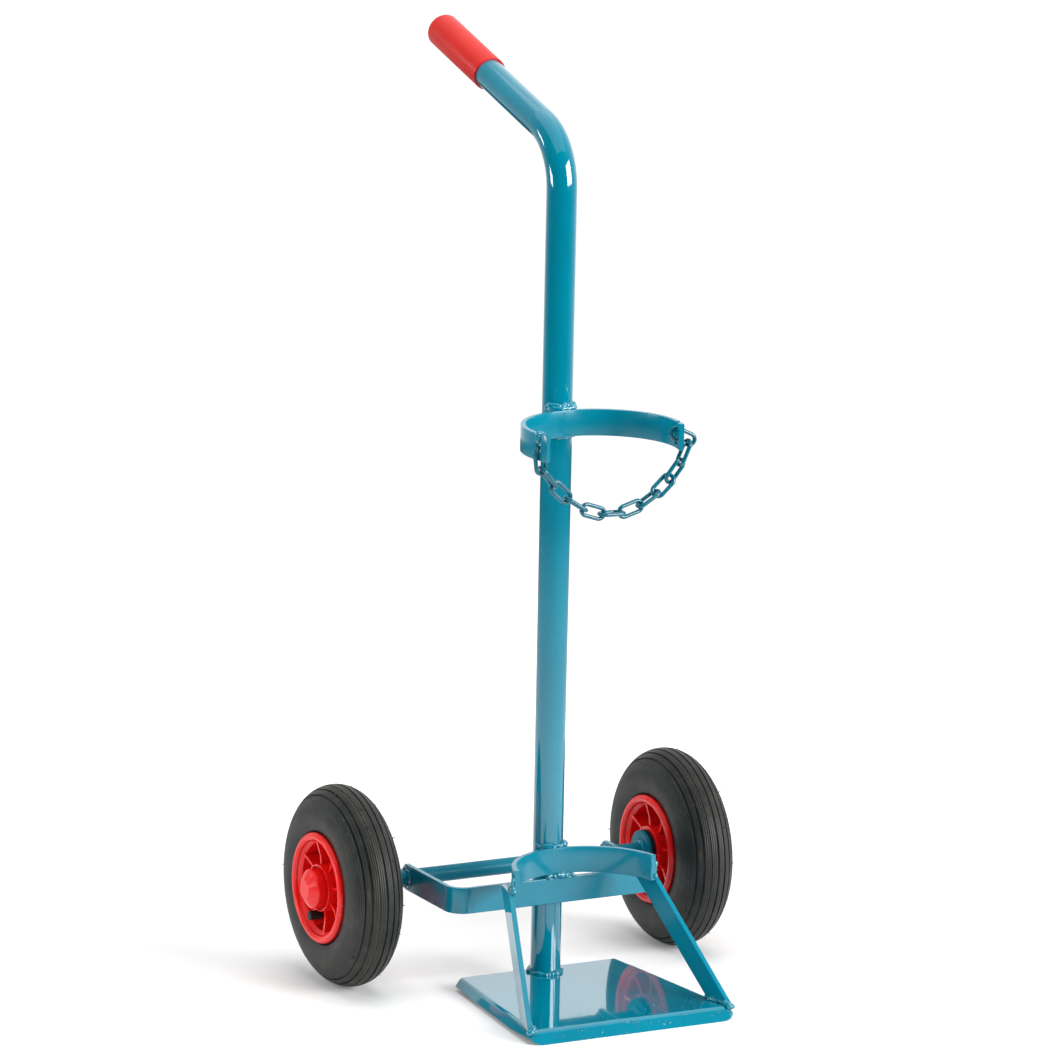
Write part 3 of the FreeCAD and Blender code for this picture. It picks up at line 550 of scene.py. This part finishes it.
def weld_brace_top(side_name, side):
    """The beads along a brace's top and up the lower hoop's end."""
    half, front, top = BRACE_TOP
    seam_rear = (side * (half - 3.4), front + 13.6, top + 1.6)
    seam_front = (side * (half + 0.6), front - 1.9, top + 0.8)
    seam = line_path([seam_rear, seam_front], spacing=2.2)
    weld_bead(f"{side_name}_brace_top_weld", seam, radius=2.9, lumps=0.3)
    end_low = (side * (half + 1.4), front - 1.4, top)
    end_high = (side * (half + 1.3), front - 1.2, top + 12)
    end = line_path([end_low, end_high], spacing=2.0)
    weld_bead(f"{side_name}_hoop_end_weld", end, radius=2.2, lumps=0.26)


def weld_brace_foot(side_name, side):
    """The beads along a brace's foot and round its front corner."""
    rear_half, rear = BRACE_FOOT_REAR
    front_half, tip = BRACE_FOOT_FRONT
    bead_height = PLATE_TOP + 1.6
    foot_rear = (side * (rear_half - 0.8), rear + 1, bead_height)
    foot_front = (side * (front_half - 0.6), tip + 1, bead_height)
    foot = line_path([foot_rear, foot_front], spacing=2.4)
    weld_bead(f"{side_name}_brace_foot_weld", foot, radius=2.5, lumps=0.36)
    corner_inner = (side * (front_half - 1), tip - 1.2, PLATE_TOP)
    corner_outer = (side * (front_half + 4), tip - 0.2, PLATE_TOP - 0.8)
    corner = line_path([corner_inner, corner_outer], spacing=1.6)
    weld_bead(f"{side_name}_brace_corner_weld", corner, radius=2.3, lumps=0.3)


weld_foot()
weld_hoops()
weld_slot_mouth()
for side_name, side in SIDES:
    weld_axle(side_name, side)
    weld_brace_top(side_name, side)
    weld_brace_foot(side_name, side)


# Small grains: weld spatter under the paint, and the rubber nubs that a tyre mould leaves

SPECKS_ON_LIP = 64
SPECKS_ON_TOP = 26
NUBS_EACH_TYRE = 30

# Degrees round the tyre's crown from its middle
NUB_ROWS = (-58, 24, -33, 50, -8, 64)

# A nub this far below the axle, as a share of the tyre's radius, would be under the tyre
LOWEST_NUB = -0.9


def scatter(name, grain, places, finish, body):
    """Copies one small grain to places given as (place, outward direction, size) and joins the copies."""
    copies = []
    for place, outward, size in places:
        copy = bpy.data.objects.new(name, grain.data.copy())
        scene.collection.objects.link(copy)
        turn = outward.to_track_quat("Z", "Y").to_matrix().to_4x4()
        copy.data.transform(Matrix.Translation(place) @ turn @ Matrix.Scale(size, 4))
        copies.append(copy)
    bpy.data.objects.remove(grain)
    deselect_all()
    for copy in copies:
        copy.select_set(True)
    bpy.context.view_layer.objects.active = copies[0]
    bpy.ops.object.join()
    joined = bpy.context.object
    joined.name = name
    bpy.ops.object.shade_smooth()
    joined.data.materials.append(finish)
    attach(joined, body)


def model_dome():
    """A low round drop, one millimetre in radius, with most of its lower half cut away."""
    deselect_all()
    bpy.ops.mesh.primitive_uv_sphere_add(segments=10, ring_count=8, radius=MM)
    bpy.ops.object.mode_set(mode="EDIT")
    bpy.ops.mesh.bisect(plane_co=(0, 0, -0.25 * MM), plane_no=(0, 0, 1), use_fill=True, clear_inner=True)
    bpy.ops.mesh.select_all(action="SELECT")
    bpy.ops.transform.resize(value=(1, 1, 0.7))
    bpy.ops.object.mode_set(mode="OBJECT")
    return bpy.context.object


def model_nub():
    """A short rubber hair on a wider foot, standing on Z."""
    deselect_all()
    bpy.ops.mesh.primitive_cylinder_add(vertices=7, radius=0.75 * MM, depth=0.7 * MM)
    bpy.ops.object.mode_set(mode="EDIT")
    bpy.ops.mesh.select_all(action="DESELECT")
    bpy.ops.mesh.select_mode(type="FACE")
    bpy.ops.object.mode_set(mode="OBJECT")
    nub = bpy.context.object
    for face in nub.data.polygons:
        face.select = face.normal.z > 0.9
    bpy.ops.object.mode_set(mode="EDIT")
    for length, taper in ((0.5, 0.5), (1.6, 0.7)):
        bpy.ops.mesh.extrude_region_move(TRANSFORM_OT_translate={"value": (0, 0, length * MM)})
        bpy.ops.transform.resize(value=(taper, taper, 1))
    bpy.ops.object.mode_set(mode="OBJECT")
    return nub


def speck_places():
    """Specks on the plate's front lip, and a few on its top behind the fold."""
    lip_out = Vector((0, -PLATE_TOP, FLANGE_SPREAD)).normalized()
    top_out = Vector((0, 0, 1))
    places = []
    for number in range(SPECKS_ON_LIP):
        across = PLATE_FRONT_HALF * 0.92 * uneven(number + 0.5)
        down = 0.5 + 0.4 * uneven(number + 20.5)
        size = 0.75 + 0.35 * uneven(number + 40.5)
        place = spot(across, -PLATE_FRONT - FLANGE_SPREAD * down, PLATE_TOP * (1 - down))
        places.append((place, lip_out, size))
    for number in range(SPECKS_ON_TOP):
        across = 20 + 70 * uneven(number + 60.5)
        back = 26 + 22 * uneven(number + 80.5)
        size = 0.55 + 0.25 * uneven(number + 100.5)
        places.append((spot(across, -PLATE_FRONT + back, PLATE_TOP), top_out, size))
    return places


def nub_places(side):
    """Places over the tread and shoulders, in turn along six rings; none where the tyre meets the floor."""
    middle = spot(side * TRACK_HALF, AXLE_BACK, AXLE_HEIGHT)
    places = []
    for number in range(NUBS_EACH_TYRE):
        row = math.radians(NUB_ROWS[number % len(NUB_ROWS)])
        turn = 2 * math.pi * (number + 0.35 * uneven(number + side)) / NUBS_EACH_TYRE
        if math.sin(turn) < LOWEST_NUB:
            continue
        spoke = Vector((0, math.cos(turn), math.sin(turn)))
        outward = Vector((math.sin(row), 0, 0)) + spoke * math.cos(row)
        ring = spoke * (TYRE_RADIUS - CROWN_RADIUS) * MM
        lean = Vector([0.3 * uneven(number + shift) for shift in (5, 9, 13)])
        size = 0.9 + 0.3 * uneven(number + 17)
        places.append((middle + ring + outward * (CROWN_RADIUS - 0.1) * MM, outward + lean, size))
    return places


scatter("paint_specks", model_dome(), speck_places(), weld_paint, "frame")
for side_name, side in SIDES:
    rubber = tyre_rubber[side_name]
    nubs = f"{side_name}_tyre_nubs"
    scatter(nubs, model_nub(), nub_places(side), rubber, f"{side_name}_wheel")


# Floor and studio

FLOOR_RADIUS = 2.6

# Metres from the cart's middle between which the floor's colour darkens, painted shade for the dim studio
# round the set, and between which its own white grows
FLOOR_SHADE_FADE = (0.8, 2.2)
GLOW_GROWTH = (0.4, 1.2)
FLOOR_PAINTED_SHADES = [(0.0, (0.8, 0.8, 0.8)), (1.0, (0.04, 0.04, 0.04))]

# The direction in which the room is brightest
BRIGHT_SIDE = (0.5, 0.7, 0.1)


def make_floor():
    """A white disc that keeps the shadows near the cart and fades into the white round it. Further out its
    colour darkens as painted shade, which reflections and bounced light see under the camera's own white.
    """
    deselect_all()
    bpy.ops.mesh.primitive_circle_add(vertices=96, radius=FLOOR_RADIUS, fill_type="NGON")
    floor = bpy.context.object
    floor.name = "floor"
    material, shader = new_material("floor_white")
    shader.inputs["Roughness"].default_value = 0.9
    shader.inputs["Specular IOR Level"].default_value = 0.0
    length = add_node(material, "ShaderNodeVectorMath")
    length.operation = "LENGTH"
    link(material, object_place(material), length.inputs[0])
    distance = length.outputs["Value"]
    # Painted shade: the floor's colour darkens away from the cart, though camera rays still see white there
    far_shade = map_range(material, distance, *FLOOR_SHADE_FADE, 0.0, 1.0)
    link(material, ramp(material, far_shade, FLOOR_PAINTED_SHADES), shader.inputs["Base Color"])
    glow = map_range(material, distance, *GLOW_GROWTH, 0.08, 1.0)
    rays = add_node(material, "ShaderNodeLightPath")
    seen_glow = combine(material, "MULTIPLY", rays.outputs["Is Camera Ray"], glow)
    shader.inputs["Emission Color"].default_value = (1, 1, 1, 1)
    link(material, seen_glow, shader.inputs["Emission Strength"])
    floor.data.materials.append(material)


def make_studio():
    """White all round where the camera looks; else bright behind the cart and to its right, dark in front."""
    world = bpy.data.worlds.new("studio")
    world.use_nodes = True
    scene.world = world
    background = world.node_tree.nodes["Background"]
    background.inputs["Color"].default_value = (1, 1, 1, 1)
    direction = add_node(world, "ShaderNodeTexCoord")
    facing = add_node(world, "ShaderNodeVectorMath")
    facing.operation = "DOT_PRODUCT"
    facing.inputs[1].default_value = BRIGHT_SIDE
    link(world, direction.outputs["Generated"], facing.inputs[0])
    toward = map_range(world, facing.outputs["Value"], -0.35, 0.85, 0.1, 1.05)
    around = combine(world, "POWER", toward, 2.0)
    rays = add_node(world, "ShaderNodeLightPath")
    strength = combine(world, "MAXIMUM", around, rays.outputs["Is Camera Ray"])
    link(world, strength, background.inputs["Strength"])


# Lights

# The height of the tube's bend, in metres, that every softbox points at
BEND_HEIGHT = 0.8

# Name, degrees from the front towards the right, degrees up, metres away, width, height and watts
SOFTBOXES = (
    ("front_softbox", 34, 14, 5.0, 3.4, 2.5, 360),
    ("left_softbox", -106, -2.5, 4.0, 1.4, 0.5, 24),
    ("rear_softbox", -129, 7.5, 4.0, 0.6, 0.35, 9),
    ("ceiling", 0, 88, 2.4, 4.0, 4.0, 28),
)

# The same, for those that brighten the cart without a mirror image in its paint
UNMIRRORED_SOFTBOXES = (
    ("top_softbox", 0, 80, 2.4, 2.0, 2.0, 44),
    ("fill_softbox", -92, 24, 3.0, 2.0, 2.0, 38),
    ("low_fill_softbox", -68, -8, 3.0, 1.2, 1.0, 16),
)


def add_softbox(name, turn, rise, reach, width, height, power, mirrored):
    turn = math.radians(turn)
    rise = math.radians(rise)
    outward = Vector((math.sin(turn) * math.cos(rise), -math.cos(turn) * math.cos(rise), math.sin(rise)))
    light = bpy.data.lights.new(name, "AREA")
    light.shape = "RECTANGLE"
    light.size = width
    light.size_y = height
    light.energy = power
    lamp = bpy.data.objects.new(name, light)
    scene.collection.objects.link(lamp)
    lamp.location = Vector((0, 0, BEND_HEIGHT)) + outward * reach
    lamp.rotation_euler = (-outward).to_track_quat("-Z", "Y").to_euler()
    lamp.visible_camera = False
    lamp.visible_glossy = mirrored


# Camera: the photograph's viewpoint, found by fitting the cart's own edges

CAMERA_RIGHT = Vector((0.88582, -0.46360, 0.02007))
CAMERA_UP = Vector((0.08296, 0.20077, 0.97612))
CAMERA_PLACE = spot(-3068.0, -5750.3, 1900.1)
CAMERA_LENS = 232.6


def make_camera():
    data = bpy.data.cameras.new("photo_view")
    data.sensor_width = 36
    data.lens = CAMERA_LENS
    data.clip_end = 100
    camera = bpy.data.objects.new("photo_view", data)
    scene.collection.objects.link(camera)
    backwards = CAMERA_RIGHT.cross(CAMERA_UP)
    turn = Matrix((CAMERA_RIGHT, CAMERA_UP, backwards)).transposed()
    camera.matrix_world = Matrix.Translation(CAMERA_PLACE) @ turn.to_4x4()
    scene.camera = camera


make_floor()
make_studio()
for softbox in SOFTBOXES:
    add_softbox(*softbox, mirrored=True)
for softbox in UNMIRRORED_SOFTBOXES:
    add_softbox(*softbox, mirrored=False)
make_camera()
scene.view_settings.view_transform = "Standard"
